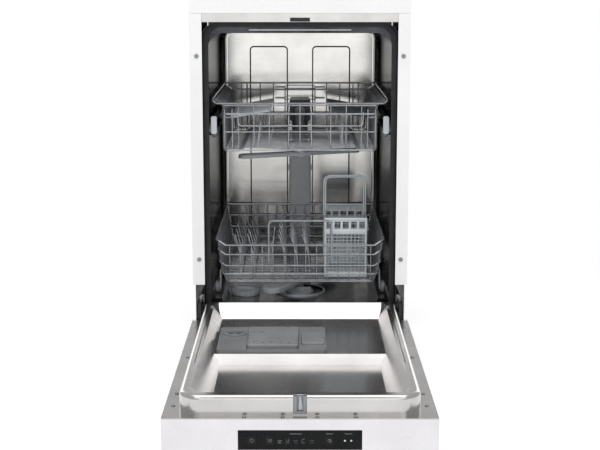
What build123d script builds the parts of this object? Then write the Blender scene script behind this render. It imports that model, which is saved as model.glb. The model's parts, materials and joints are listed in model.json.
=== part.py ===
from build123d import *
import os

# Built-in slimline dishwasher, door open level. Millimetres, +Z up, +X to the right seen from the
# front. Shapes are drawn with Y = 0 at the cabinet's front flange and shifted to the row's frame.

# Driving dimensions
cabinet_width = 448.0
cabinet_height = 820.0
cabinet_depth = 513.0
door_reach = 650.0  # from the flange plane to the open door's free end
sheet = 1.0  # sheet metal
tub_half = 189.0  # inside of the tub, half width
tub_top = 745.0
tub_corner = 30.0
recess_half = 200.0  # the wider front part of the tub, which takes the door's rim
recess_top = 768.5
recess_depth = 40.0
tub_floor_z = 150.0
ledge_z = 188.0  # the wheels of the lower basket run on it
pivot_y = -12.5  # door hinge axis
pivot_z = 145.5
door_skin_z = 96.0  # the open door's outer face
door_plane_z = 155.0  # the open door's inner flange
rim_z = 188.0  # top of the door's raised rim
wire = 3.0
shift_y = (door_reach - cabinet_depth) / 2
half_width = cabinet_width / 2
lower_arm_y = 290.0  # hub of the lower spray arm
upper_arm_y = 306.0
sump_y = 261.0
cup_y = 246.0
pump_z = 98.0
salt_x, salt_y = -124.0, 230.0
rail_z = 556.0  # middle of the upper basket's rails
inlet_r = 13.0
gland_x = 158.0


def block(x0, x1, y0, y1, z0, z1):
    """A box by its limits."""
    return Pos((x0 + x1) / 2, (y0 + y1) / 2, (z0 + z1) / 2) * Box(x1 - x0, y1 - y0, z1 - z0)


def mirrored(shape):
    """The shape and its mirror image in the X = 0 plane."""
    return [shape, shape.mirror(Plane.YZ)]


def rod_x(radius, x0, x1, y, z):
    """A round bar along X."""
    return Pos((x0 + x1) / 2, y, z) * Rot(0, 90, 0) * Cylinder(radius, x1 - x0)


def rod_y(radius, x, y0, y1, z):
    """A round bar along Y."""
    return Pos(x, (y0 + y1) / 2, z) * Rot(90, 0, 0) * Cylinder(radius, y1 - y0)


def rod_z(radius, x, y, z0, z1):
    """A round bar along Z."""
    return Pos(x, y, (z0 + z1) / 2) * Cylinder(radius, z1 - z0)


def tube_y(outer, inner, x, y0, y1, z):
    """A round tube along Y."""
    return rod_y(outer, x, y0, y1, z) - rod_y(inner, x, y0 - 1, y1 + 1, z)


def arch(half, top, radius, y0, y1, z0):
    """A block with the cross-section of the tub: flat sides and a ceiling with round corners."""
    body = block(-half, half, y0, y1, z0, top)
    return fillet(body.edges().filter_by(Axis.Y).group_by(Axis.Z)[-1], radius)


def grid(axis, level, first, second, thick, spacing_a, spacing_b):
    """A flat grid of square wires in the plane normal to axis at level, fused into one solid."""
    (a0, a1), (b0, b1) = first, second
    half = thick / 2

    def bar(p0, p1, q0, q1):
        if axis == "X":
            return block(level - half, level + half, p0, p1, q0, q1)
        if axis == "Y":
            return block(p0, p1, level - half, level + half, q0, q1)
        return block(p0, p1, q0, q1, level - half, level + half)

    count_a = max(1, round((a1 - a0 - thick) / spacing_a))
    count_b = max(1, round((b1 - b0 - thick) / spacing_b))
    step_a = (a1 - a0 - thick) / count_a
    step_b = (b1 - b0 - thick) / count_b
    bars = [bar(a0 + i * step_a, a0 + i * step_a + thick, b0, b1) for i in range(count_a + 1)]
    bars += [bar(a0, a1, b0 + i * step_b, b0 + i * step_b + thick) for i in range(count_b + 1)]
    return bars[0].fuse(*bars[1:]).solid()


def write(name, *shapes):
    """Writes one node, moved from the drawing frame to the row's frame."""
    solids = []
    for shape in shapes:
        items = shape if isinstance(shape, (list, tuple)) else [shape]
        for item in items:
            solids += list(item.solids())
    node = Compound(children=[Pos(0, shift_y, 0) * s for s in solids])
    node.label = name
    export_step(node, f"parts/{name}.step")


os.makedirs("parts", exist_ok=True)

# ---- Cabinet shell -------------------------------------------------------------------------


def side_panel():
    """A painted side with its front flange, cut away below for the hinge."""
    face = block(half_width - sheet, half_width, 0, 508, 32, 785.6)
    face += block(half_width - sheet, half_width, 22.3, 508, 780, 818.7)
    flange = block(half_width - 25, half_width, 0, sheet, 225, 785.6)
    hinge_gap = block(half_width - 5, half_width + 5, -1, 62, 0, 225)
    return face + flange - hinge_gap


write("side_panels", mirrored(side_panel()))

band = block(-half_width, half_width, 0, sheet, 786, cabinet_height)
band += block(-half_width, half_width, 0, 22, cabinet_height - sheet, cabinet_height)
band += block(-half_width, half_width, 0, 16, 786, 786 + sheet)
write("top_front_band", band)

cover = block(-half_width, half_width, 22.2, 511, 819, cabinet_height)
for side in (-1, 1):
    cover += block(min(side * 221.6, side * 222.6), max(side * 221.6, side * 222.6), 22.2, 511, 800, 820)
write("top_cover", cover)

rear = block(-221.5, 221.5, 512, cabinet_depth, 32, 818.7)
rear -= block(-190, -110, 500, 520, 30, 112)
rear -= block(100, 190, 500, 520, 30, 112)
write("rear_cover", rear)

write("plinth_panel", block(-214, 214, 62, 64, 14, 88))

tray = block(-222, 222, 66, 507, 30, 68) - block(-218, 218, 70, 503, 34, 69)
for y in (170, 400):
    tray += block(-218, 218, y, y + 3, 33, 46)
for x in (-120, 60, 150):
    tray += block(x, x + 3, 70, 503, 33, 46)
foot_places = [(x, y) for x in (-190, 190) for y in (95, 480)]
for x, y in foot_places:
    tray += rod_z(15, x, y, 30, 60)
    tray -= rod_z(5.3, x, y, 20, 62)
tray -= block(gland_x - 16, gland_x + 16, 502, 508, 46, 70)
write("base_tray", tray)


def foot(x, y):
    """A levelling foot: a round pad with a screw that runs up into the tray."""
    return rod_z(16, x, y, 0, 10) + rod_z(9, x, y, 9.9, 24) + rod_z(5, x, y, 23.9, 56)


write("levelling_feet", [foot(x, y) for x, y in foot_places])

# ---- Tub -----------------------------------------------------------------------------------

tub_split = 470.0  # the wrap ends here and the back pan begins
wrap = arch(recess_half + sheet, recess_top + sheet, 38, 1.5, recess_depth + sheet, 140)
wrap -= arch(recess_half, recess_top, 37, 0, recess_depth, 130)
wrap -= arch(tub_half, tub_top, tub_corner, 30, 60, 130)
wrap += (
    arch(tub_half + sheet, tub_top + sheet, tub_corner + sheet, recess_depth, tub_split, 146)
    - arch(tub_half, tub_top, tub_corner, 30, tub_split + 9, 130)
)
crossbar = block(-198.7, 198.7, 0.2, 1.45, recess_top + 0.1, 785.6)
crossbar += block(-198.7, 198.7, 0.2, 14, 784.6, 785.6)
roller_pin = rod_x(3, 175.5, tub_half - 0.02, 74, rail_z - 21.4)
write("tub_wrap", wrap, crossbar, mirrored(roller_pin))


def back_panel():
    """The tub's back: a shallow pan with round corners and two raised panels."""
    outer = block(-tub_half - sheet, tub_half + sheet, tub_split + 0.2, 491, 146, tub_top + sheet)
    outer = fillet(outer.edges().filter_by(Axis.Y).group_by(Axis.Z)[-1], tub_corner + sheet)
    rear_edges = outer.faces().sort_by(Axis.Y)[-1].edges()
    upper = [e for e in rear_edges if e.center().Z > 150]
    outer = fillet(upper, 16)
    inner = block(-tub_half, tub_half, tub_split - 9, 490, 140, tub_top)
    inner = fillet(inner.edges().filter_by(Axis.Y).group_by(Axis.Z)[-1], tub_corner)
    rear_edges = inner.faces().sort_by(Axis.Y)[-1].edges()
    upper = [e for e in rear_edges if e.center().Z > 150]
    inner = fillet(upper, 15)
    pan = outer - inner
    for x0, x1 in ((-121, -29), (29, 121)):
        raised = block(x0, x1, 486.2, 490.5, 250, 700)
        raised = fillet(raised.edges().filter_by(Axis.Y), 10)
        raised = fillet(raised.faces().sort_by(Axis.Y)[0].edges(), 3.4)
        pan += raised
    return pan


write("tub_back", back_panel())


def floor_pan():
    """The tub's floor: two wheel ledges, slopes, a flat middle and the sump's hole."""
    half_in, ledge_in = 187.8, 166.0
    top = [
        (-half_in, ledge_z),
        (-ledge_in, ledge_z),
        (-158, tub_floor_z + 2),
        (-30, tub_floor_z),
        (30, tub_floor_z),
        (158, tub_floor_z + 2),
        (ledge_in, ledge_z),
        (half_in, ledge_z),
    ]
    under = [(x, z - 2) for x, z in reversed(top)]
    under[0] = (half_in, ledge_z - 8)
    under[-1] = (-half_in, ledge_z - 8)
    under[1] = (ledge_in + 1.5, ledge_z - 8)
    under[-2] = (-ledge_in - 1.5, ledge_z - 8)
    section = Plane(origin=(0, 489.6, 0), x_dir=(1, 0, 0), z_dir=(0, -1, 0))
    pan = extrude(section * make_face(Polyline(*top, *under, close=True)), 489.6 - 41.5)
    for side in (-1, 1):
        lo, hi = sorted((side * 165, side * 200))
        pan -= block(lo, hi, 470, 500, 100, 200)
    pan += block(-half_in, half_in, 41.5, 43, 118, tub_floor_z + 0.5)
    for side in (-1, 1):
        lo, hi = sorted((side * ledge_in, side * half_in))
        pan += block(lo, hi, 33, 43, 180, ledge_z)
        pan += block(lo, hi, 41.5, 43, 148, 181)
    pan -= rod_z(58, 0, sump_y, 100, 170)
    pan -= rod_z(30, salt_x, salt_y, 100, 170)
    return pan


write("tub_floor", floor_pan())

gasket = arch(199.4, 767.9, 36.4, 32, 39.7, 160) - arch(188.4, 757, 27, 20, 50, 130)
gasket += arch(197, 765.6, 34.2, 30.55, 32.1, 160) - arch(192, 760.6, 30, 20, 50, 130)
write("door_gasket", gasket)

tongue = block(-12, 12, 3, 20, 766.9, 768.3) + block(-4.6, 4.6, 7, 17, 761, 767)
cover_plate = block(-20, 20, -1.3, 0.1, 769.2, 777)
write("latch_hook", tongue, cover_plate)

water_box = block(203.5, 219.5, 120, 330, 250, 560) - block(205.5, 217.5, 122, 328, 252, 558)
water_box += block(205.4, 217.6, 190, 192, 252, 480) + block(205.4, 217.6, 260, 262, 330, 558)
write("water_box", water_box.mirror(Plane.YZ))

# ---- Door hinges in the cabinet ------------------------------------------------------------


def hinge_bracket():
    """A plate at the cabinet's side with the hinge pin, and the leg that screws to the tray."""
    plate = rod_x(11.5, 214.5, 217, pivot_y, pivot_z) + block(214.5, 217, pivot_y, 90, 134, 157)
    plate += block(214.5, 217, 66, 90, 68.2, 157)
    pin = rod_x(4, 205.4, 214.6, pivot_y, pivot_z)
    tab = block(204, 217, 70, 90, 68.2, 71)
    return plate + pin + tab


write("hinge_brackets", mirrored(hinge_bracket()))


def hinge_spring():
    """A close-wound spring along the tub's side, drawn as a stack of rings on its hook."""
    turns, pitch, start, z = 22, 4.0, 64.0, pivot_z + 37
    spring = rod_y(1.6, 209, -2.6, start + 1, z) + rod_y(5, 209, start, start + turns * pitch, z)
    for i in range(turns):
        spring += rod_y(6.2, 209, start + i * pitch + 0.4, start + (i + 1) * pitch - 0.4, z)
    return spring + rod_y(1.6, 209, start + turns * pitch - 1, start + turns * pitch + 24, z)


write("hinge_springs", mirrored(hinge_spring()))

# ---- Tub fittings --------------------------------------------------------------------------

duct = block(-26, 26, 481, 489.7, 153, 470)
duct = fillet(duct.faces().sort_by(Axis.Y)[0].edges().filter_by(Axis.Z), 4)
duct -= block(-23, 23, 483, 488, 140, 467)
duct += block(-28.5, 28.5, 483, 487.9, 210, 222) + block(-28.5, 28.5, 483, 487.9, 400, 412)
duct -= block(-23, 23, 483, 488, 140, 467)
write("water_duct", duct)

dock = block(-25, 25, 462, 487.9, 522, 575)
dock = fillet(dock.edges().filter_by(Axis.Y), 6)
dock += block(-19, 19, 468, 487.9, 470.2, 523)
dock += tube_y(17, 12.5, 0, 452, 463, 548)
dock -= rod_y(12.5, 0, 440, 480, 548)
write("feed_dock", dock)

sump = rod_z(57.6, 0, sump_y, 80, 154) - rod_z(54, 0, sump_y, 84, 160)
sump += rod_z(62, 0, sump_y, 144.5, 147.4) - rod_z(54, 0, sump_y, 84, 160)
sump += rod_y(14, 0, 314, 352, pump_z)
sump -= rod_y(10.5, 0, 300, 360, pump_z)
sump += rod_z(8, 0, lower_arm_y, 80, 178) + rod_z(12, 0, lower_arm_y, 80, 144)
write("sump", sump)

plate = rod_z(53.6, 0, sump_y, 149, 151.2)
plate += rod_z(53.6, 0, sump_y, 151, 153.6) - rod_z(50, 0, sump_y, 140, 160)
plate -= rod_z(28.5, 0, cup_y, 140, 160)
plate -= rod_z(8.4, 0, lower_arm_y, 140, 160)
for side in (-1, 1):
    for i in range(3):
        for j in range(4):
            plate -= rod_z(2.0, side * (16 + 9 * i), 280 + 6.5 * (j - i), 140, 160)
write("filter_plate", plate)

cup = rod_z(28, 0, cup_y, 112, 155) - rod_z(25, 0, cup_y, 115, 170)
cup += rod_z(31, 0, cup_y, 151.6, 155) - rod_z(25, 0, cup_y, 140, 160)
cup += block(-25.2, 25.2, cup_y - 2, cup_y + 2, 148, 163)
cup -= Pos(0, cup_y, 126) * Box(80, 5, 12)
write("filter_cup", cup)

motor = rod_y(38, 0, 352.4, 450, pump_z) + rod_y(44, 0, 356, 372, pump_z)
motor += block(-30, 30, 380, 440, 46.2, 64)
motor -= rod_y(8, 0, 351, 362, pump_z)
write("circulation_pump", motor)

drain = rod_x(26, 98, 150, 430, 92) + block(104, 144, 410, 450, 46.2, 70)
drain += rod_y(14, 140, 440, 470, 92) + rod_y(10, 140, 469, cabinet_depth, 92)
drain -= rod_y(7.5, 140, 455, cabinet_depth + 1, 92)
write("drain_pump", drain)

tank = block(-184, -96, 120, 330, 46.2, 138) - block(-181, -99, 123, 327, 49, 135)
tank += rod_z(29.5, salt_x, salt_y, 137.5, 153)
tank -= rod_z(24, salt_x, salt_y, 130, 170)
write("softener_tank", tank)

cap = rod_z(32, salt_x, salt_y, 153.4, 163) + rod_z(23.7, salt_x, salt_y, 141, 153.5)
cap = chamfer(cap.faces().sort_by(Axis.Z)[-1].edges(), 2)
cap += block(salt_x - 20, salt_x + 20, salt_y - 4, salt_y + 4, 162.9, 168.5)
for i in range(12):
    cap -= Pos(salt_x, salt_y, 158) * Rot(0, 0, 30 * i) * Pos(33, 0, 0) * Cylinder(2.6, 20)
write("salt_cap", cap)

valve = block(-165, -125, 440, 500, 64, 104) + rod_y(inlet_r, -145, 495, cabinet_depth, 84)
valve -= rod_y(9, -145, 485, cabinet_depth + 1, 84)
valve += rod_z(12, -145, 462, 103.9, 124) + block(-160, -130, 445, 495, 46.2, 64.1)
write("inlet_valve", valve)

gland = tube_y(9, 4, gland_x, 490, cabinet_depth, 64) + (
    block(gland_x - 14, gland_x + 14, 503.2, 507, 50, 78) - rod_y(4, gland_x, 490, 520, 64)
)
gland += block(gland_x - 14, gland_x + 14, 490, 507, 46.2, 50.1)
write("cable_gland", gland)


def spray_arm(length, width, hub_z, thick, hub_radius, angle, x, y):
    """A spray arm: a flat hollow blade with a hub, nozzles and rounded ends."""
    arm = Box(length, width, thick)
    arm = fillet(arm.edges().filter_by(Axis.Z), width / 2 - 0.5)
    arm = chamfer(arm.faces().sort_by(Axis.Z)[-1].edges(), thick / 4)
    arm += Cylinder(hub_radius, thick + 6)
    for i in (-5, -4, -3, -2, 2, 3, 4, 5):
        arm -= Pos(i * length / 12, (i % 2 - 0.5) * width / 3, thick / 2) * Box(9, 2.4, 3)
    return Pos(x, y, hub_z) * Rot(0, 0, angle) * arm


lower_arm = spray_arm(312, 46, 176, 11, 22, 62, 0, lower_arm_y)
lower_arm -= rod_z(8.06, 0, lower_arm_y, 160, 178.3)
write("lower_spray_arm", lower_arm)

# ---- Door ----------------------------------------------------------------------------------


def door_skin():
    """The painted outer pan: a flat face with raised sides and a folded hinge end."""
    pan = block(-half_width, half_width, -632, 20, door_skin_z, door_plane_z - 2)
    pan -= block(-half_width + 1, half_width - 1, -640, 18.8, door_skin_z + 1, door_plane_z + 9)
    pan -= block(-half_width - 1, half_width + 1, -8, 30, 118, door_plane_z + 9)
    return pan


write("door_outer_panel", door_skin())


dispenser_x = (-158.0, 50.0)
dispenser_y = (-286.0, -118.0)


def door_form(inset):
    """The liner's upper surface as a block, set in by a thickness all round."""
    plane_z, top_z = door_plane_z - inset, rim_z - inset
    form = block(-half_width, half_width, -649.2, -1, 100 - inset, plane_z)
    raised = block(-198 + inset, 198 - inset, -633 + inset, -1 - inset, 100 - inset, top_z)
    raised = fillet(raised.edges().filter_by(Axis.Z).group_by(Axis.Y)[0], 36 - inset)
    top_edges = [e for e in raised.faces().sort_by(Axis.Z)[-1].edges() if e.center().Y < -1.2 - inset]
    raised = fillet(top_edges, 7 - inset)
    hollow = block(-180 - inset, 180 + inset, -615 - inset, -6 + inset, 120, 200)
    hollow = fillet(hollow.edges().filter_by(Axis.Z).group_by(Axis.Y)[0], 22 + inset)
    base_z = 143 - inset
    basin = Pos(0, -308, base_z) * extrude(
        Plane.XY * RectangleRounded(2 * (150 + inset), 2 * (286 + inset), 12), 60, taper=-34
    )
    hollow = hollow & basin
    side = Plane(origin=(-190, 0, 0), x_dir=(0, 1, 0), z_dir=(1, 0, 0))
    steps = Polyline(
        (-5 + inset, rim_z + 1), (-34 + inset, 160 - inset), (-294 + inset, 160 - inset),
        (-307 + inset, 143 - inset), (-618, 143 - inset), (-618, 210), (-5 + inset, 210), close=True,
    )
    form = form + raised - (hollow & extrude(side * make_face(steps), 380))
    guide = block(-186, 186, -449, -34, rim_z - 2.5 - inset, 210)
    return form - guide


liner = door_form(0) - door_form(1.2)
fit = 0.2  # clearance of the dispenser in its window
liner -= block(dispenser_x[0] - fit, dispenser_x[1] + fit, dispenser_y[0] - fit, dispenser_y[1] + fit, 100, 200)
liner -= block(-11.2, 11.2, -640, -626, 157, 200)
for side in (-1, 1):
    lo, hi = sorted((side * 199.3, side * 230))
    liner -= block(lo, hi, -27, 5, 140, 170)
write("door_inner_panel", liner)

write("door_bottom_seal", block(-196, 196, -0.8, 2.6, 128, 174) + block(-196, 196, -0.8, 8, 166, 170))


def console():
    """The moulded strip along the door's free end, with a recess for the fascia."""
    body = block(-half_width, half_width, -door_reach, -632.4, door_skin_z, door_plane_z - 1.3)
    body = fillet(body.faces().sort_by(Axis.Y)[0].edges().filter_by(Axis.X), 1.5)
    body -= block(-221, 221, -646.5, -630, door_skin_z + 3, door_plane_z - 4)
    body -= block(-100.2, 100.2, -door_reach - 1, -640, 102.3, 135.8)
    return body


write("control_console", console())

icon_z = 118.0
buttons = {"power_button": -78.0, "programme_button": -49.0, "half_load_button": 47.5}
fascia = block(-100, 100, -door_reach + 0.2, -642, 102.5, 135.6)
fascia = fillet(fascia.edges().filter_by(Axis.Y), 1.5)
for x in buttons.values():
    fascia -= block(x - 8.3, x + 8.3, -door_reach - 1, -641, icon_z - 8.3, icon_z + 8.3)
for x in (71.5, 81.5):
    fascia -= rod_y(1.6, x, -door_reach - 1, -640, icon_z)
write("control_fascia", fascia)

for name, x in buttons.items():
    key = block(x - 8, x + 8, -door_reach + 0.1, -642.6, icon_z - 8, icon_z + 8)
    key = fillet(key.edges().filter_by(Axis.Y), 2)
    write(name, key)

board = block(-104, 104, -636.5, -634.9, 102, 136)
for x in buttons.values():
    board += block(x - 4, x + 4, -639.8, -636.4, icon_z - 4, icon_z + 4)
board += block(-30, 30, -634.95, -634 + 8, 106, 130)
write("control_board", board)

# ---- Dispenser -----------------------------------------------------------------------------

lid_x = (-101.0, -3.0)
lid_y = (-260.0, -126.0)
cap_place = (-128.0, -168.0)
latch_x = (3.0, 46.0)
latch_y = (-248.0, -172.0)
body = block(*dispenser_x, *dispenser_y, 122, 165)
body = fillet(body.edges().filter_by(Axis.Z), 8)
body -= block(lid_x[0] + 12, lid_x[1] - 12, lid_y[0] + 16, lid_y[1] - 16, 128, 170)
body -= block(lid_x[0] - 1, lid_x[1] + 1, dispenser_y[0] - 5, lid_y[1] + 1, 161, 170)
body -= rod_z(18, *cap_place, 128, 170) + rod_z(22.6, *cap_place, 162, 170)
body -= block(latch_x[0] - 0.4, latch_x[1] + 0.4, latch_y[0] - 0.4, latch_y[1] + 0.4, 152, 170)
write("dispenser_body", body)

lid = block(*lid_x, *lid_y, 161.4, 168)
lid = fillet(lid.edges().filter_by(Axis.Z), 6)
lid = chamfer(lid.faces().sort_by(Axis.Z)[-1].edges(), 1.2)
for i in range(5):
    lid -= rod_z(2.6, lid_x[0] + 13 + 16.8 * i, lid_y[0] + 19, 166.8, 170)
write("detergent_lid", lid)

rinse = rod_z(22.2, *cap_place, 162.4, 167) + rod_z(17.7, *cap_place, 150, 162.5)
rinse += Pos(cap_place[0], cap_place[1], 169) * Box(34, 6, 5)
write("rinse_aid_cap", rinse)

press = block(*latch_x, *latch_y, 155, 168.5)
press = fillet(press.edges().filter_by(Axis.Z), 5)
press = chamfer(press.faces().sort_by(Axis.Z)[-1].edges(), 1)
write("dispenser_latch", press)

catch = block(-11, 11, -632.8, -626.2, 157.2, rim_z - 2) + block(-11, 11, -631.6, -617.5, 157.2, rim_z - 2)
catch = fillet(catch.faces().sort_by(Axis.Y)[0].edges().filter_by(Axis.Z), 1)
catch -= block(-5.4, 5.4, -640, -626, 161, 190)
write("latch_catch", catch)


def hinge_arm():
    """A door arm: a plate inside the door's side, a bored eye and a tail for the spring."""
    eye = rod_x(11, 206, 212, pivot_y, pivot_z)
    leaf = block(206, 212, -130, pivot_y, 134, 153.6)
    tail = block(206, 212, pivot_y - 8, pivot_y + 8, pivot_z, pivot_z + 44)
    arm = eye + leaf + tail - rod_x(4.05, 190, 230, pivot_y, pivot_z)
    return arm - rod_x(3, 190, 230, pivot_y, pivot_z + 37)


write("hinge_arms", mirrored(hinge_arm()))


flange_screws = [(side * 210, y) for side in (-1, 1) for y in (-80, -300, -520, -585)]
flange_screws += [(x, -642) for x in (-90, -28, 28, 90)]
heads = [rod_z(3.4, x, y, door_plane_z + 0.05, door_plane_z + 1.2) for x, y in flange_screws]
write("door_screws", heads)

flange_screw_levels = (279.0, 700.0)
cabinet_heads = [rod_y(4.5, side * 210, -1.4, -0.05, z) for z in flange_screw_levels for side in (-1, 1)]
write("cabinet_screws", cabinet_heads)

# ---- Upper basket --------------------------------------------------------------------------

roller_r = 10.0
basket_roller_places = (267.0, 430.0)


def slide_rail():
    """A channel rail along the tub's side, open towards the basket."""
    rail = block(174, 183.5, 46, 456, rail_z - 13, rail_z + 13)
    return rail - block(170, 182.2, 40, 460, rail_z - 11, rail_z + 11)


write("upper_rails", mirrored(slide_rail()))

end_cap = block(173, 184.5, 36, 45.8, 538, 574)
end_cap = fillet(end_cap.edges().filter_by(Axis.Y), 3)
end_cap += block(174.5, 181.8, 45.7, 52, rail_z - 10.6, rail_z + 10.6)
write("rail_end_caps", mirrored(end_cap))


def roller(x0, x1, y, z, radius, pin):
    """A roller with a bore that runs on its pin."""
    wheel = rod_x(radius, x0, x1, y, z) - rod_x(pin + 0.06, x0 - 1, x1 + 1, y, z)
    return chamfer(wheel.edges().filter_by(GeomType.CIRCLE).filter_by(lambda e: e.radius > pin + 1), 0.8)


carrier_z = rail_z - 21.4
write("rail_rollers", mirrored(roller(176, 184, 74, carrier_z, 8, 3)))
for name, y in zip(("basket_rollers_front", "basket_rollers_rear"), basket_roller_places):
    write(name, mirrored(roller(174.5, 181.2, y, rail_z, roller_r, 3)))


def frame_bars(half, y0, y1, z, radius):
    """A horizontal frame of round wire: two long sides with the front and back bars between them."""
    inner = half - radius - 0.02
    bars = [rod_x(radius, -inner, inner, y, z) for y in (y0 + radius, y1 - radius)]
    return bars + mirrored(rod_y(radius, half, y0, y1, z))


def upper_frame():
    """The upper basket: square-wire floor and walls under a round rim, and side brackets."""
    notch = block(-33, 33, 418, 500, 495, 590)
    floor = grid("Z", 500, (-150, 150), (44, 478), wire, 30, 36) - notch
    front = grid("Y", 42, (-158, 158), (502.5, 600), wire, 32, 26)
    back = grid("Y", 480, (-158, 158), (502.5, 604), wire, 32, 34) - notch
    left = grid("X", 160, (45, 477), (502.5, 606), wire, 36, 34)
    rim = frame_bars(163, 36, 484, 610, 2.3)
    solids = [floor, front, back] + mirrored(left)
    hold = []
    for y in basket_roller_places:
        arm = block(162.2, 165.5, y - 14, y + 14, rail_z - 16, 606.5)
        arm += rod_x(3, 165.4, 181.4, y, rail_z) + rod_x(6, 165.4, 174.2, y, rail_z)
        hold += mirrored(arm)
    shelf_wire = rod_y(1.5, shelf_x, 100, 410, shelf_z)
    for y in (100, 407):
        shelf_wire += block(shelf_x - 1.5, 158, y, y + 3, shelf_z - 1.5, shelf_z + 1.5)
    return solids, rim, hold + mirrored(shelf_wire)


shelf_x, shelf_z = 146.0, 566.0
walls, rim, holders = upper_frame()
write("upper_basket", walls, rim, holders)


def cup_shelf(side):
    """A folding louvred cup shelf on its hinge wire along the basket's side."""
    lo, hi = sorted((side * shelf_x, side * 62))
    shelf = rod_y(3.4, side * shelf_x, 110, 400, shelf_z)
    for i in range(10):
        y = 114 + i * 30.8
        shelf += block(lo, hi, y, y + 3, 564, 567)
    for i in range(4):
        x = lo + 8 + i * (hi - lo - 19) / 3
        shelf += block(x, x + 3, 112, 396, 563, 566)
    return shelf - rod_y(1.56, side * shelf_x, 100, 410, shelf_z)


write("cup_shelf_left", cup_shelf(-1))
write("cup_shelf_right", cup_shelf(1))

feed = tube_y(12, 9, 0, 318, 436, 486) + rod_z(12, 0, 436, 474, 548) + rod_y(12, 0, 436, 459, 548)
feed -= rod_z(8, 0, 436, 482, 540) + rod_y(8, 0, 430, 470, 548)
feed += rod_z(13, 0, upper_arm_y, 474, 496) + rod_z(6, 0, upper_arm_y, 462, 478)
write("upper_feed_pipe", feed)

upper_arm = spray_arm(300, 30, 464, 9, 15, 24, 0, upper_arm_y)
upper_arm -= rod_z(6.06, 0, upper_arm_y, 461.5, 480)
write("upper_spray_arm", upper_arm)

# ---- Lower basket --------------------------------------------------------------------------

basket_front, basket_back = 46.0, 473.0


def lower_frame():
    """The lower basket: square-wire floor and walls, a round rim and the front handle."""
    floor = grid("Z", 216, (-158, 158), (48, 471), wire, 30, 36)
    front = grid("Y", basket_front, (-166, 166), (218.5, 300), wire, 32, 22)
    back = grid("Y", basket_back, (-166, 166), (218.5, 312), wire, 32, 30)
    side = grid("X", 168, (49, 470), (218.5, 312), wire, 36, 30)
    rim = frame_bars(171, 40, 478, 316, 2.3)
    handle = FilletPolyline((-66, 38, 282), (-66, 38, 352), (66, 38, 352), (66, 38, 282), radius=12)
    grip = sweep(Plane(origin=handle @ 0, z_dir=handle % 0) * Circle(2.3), handle)
    hold = []
    for y in wheel_places:
        arm = block(169.9, 172.7, y - 16, y + 16, 198, 232)
        arm += rod_x(3, 172.6, 182.2, y, wheel_z)
        hold += mirrored(arm)
    return [floor, front, back] + mirrored(side), rim, grip, hold


wheel_r = 13.0
wheel_z = ledge_z + wheel_r + 0.35
wheel_places = (92.0, 440.0)
walls, rim, grip, holders = lower_frame()
write("lower_basket", walls, rim, grip, holders)
for name, y in zip(("lower_wheels_front", "lower_wheels_rear"), wheel_places):
    write(name, mirrored(roller(173.2, 182, y, wheel_z, wheel_r, 3)))


def tine_rows():
    """The folding tines: slanted pins on one hinge wire."""
    row = rod_y(2.6, tine_x, 100, 440, 226)
    for i in range(11):
        y = 108 + i * 32
        row += Pos(tine_x, y, 226) * Rot(-12, 0, 0) * Pos(0, 0, 36) * Box(wire, wire, 72)
    return row


tine_x = -62.0
write("folding_tines", tine_rows())

# ---- Cutlery basket ------------------------------------------------------------------------

cut_x = (52.0, 144.0)
cut_y = (86.0, 240.0)
cut_z = (221.0, 352.0)


def cutlery_box():
    """An open plastic basket with slotted walls, two dividers and an arched handle."""
    body = block(*cut_x, *cut_y, *cut_z)
    body = fillet(body.edges().filter_by(Axis.Z), 8)
    hollow = block(cut_x[0] + 2, cut_x[1] - 2, cut_y[0] + 2, cut_y[1] - 2, cut_z[0] + 3, cut_z[1] + 5)
    body -= fillet(hollow.edges().filter_by(Axis.Z), 6)
    for i in range(5):
        x = cut_x[0] + 11 + i * 15
        for z0, z1 in ((328, 344), (300, 318), (272, 292), (244, 264)):
            body -= block(x, x + 11, cut_y[0] - 5, cut_y[1] + 5, z0, z1)
    for i in range(8):
        y = cut_y[0] + 12 + i * 17
        for z0, z1 in ((328, 344), (300, 318), (272, 292), (244, 264)):
            body -= block(cut_x[0] - 5, cut_x[1] + 5, y, y + 12, z0, z1)
    for y in (137, 187):
        body += block(cut_x[0] + 1, cut_x[1] - 1, y, y + 2, cut_z[0] + 1, 340)
    return body


basket_body = cutlery_box()
bow = arch(48.6, 0, 24, 159, 167, -94) - arch(43.6, -5, 20, 150, 170, -99)
bow = Pos((cut_x[0] + cut_x[1]) / 2, 0, 434) * bow
write("cutlery_basket", basket_body, bow)

cover = block(cut_x[0] + 0.5, cut_x[1] - 0.5, 169, 239, 352.4, 355)
for i in range(5):
    for j in range(4):
        x, y = cut_x[0] + 8 + i * 16, 180 + j * 15
        cover -= block(x, x + 10, y, y + 9, 350, 358)
cover += rod_x(2.6, cut_x[0] + 0.5, cut_x[1] - 0.5, 239, 355)
write("cutlery_lid", cover)
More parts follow.
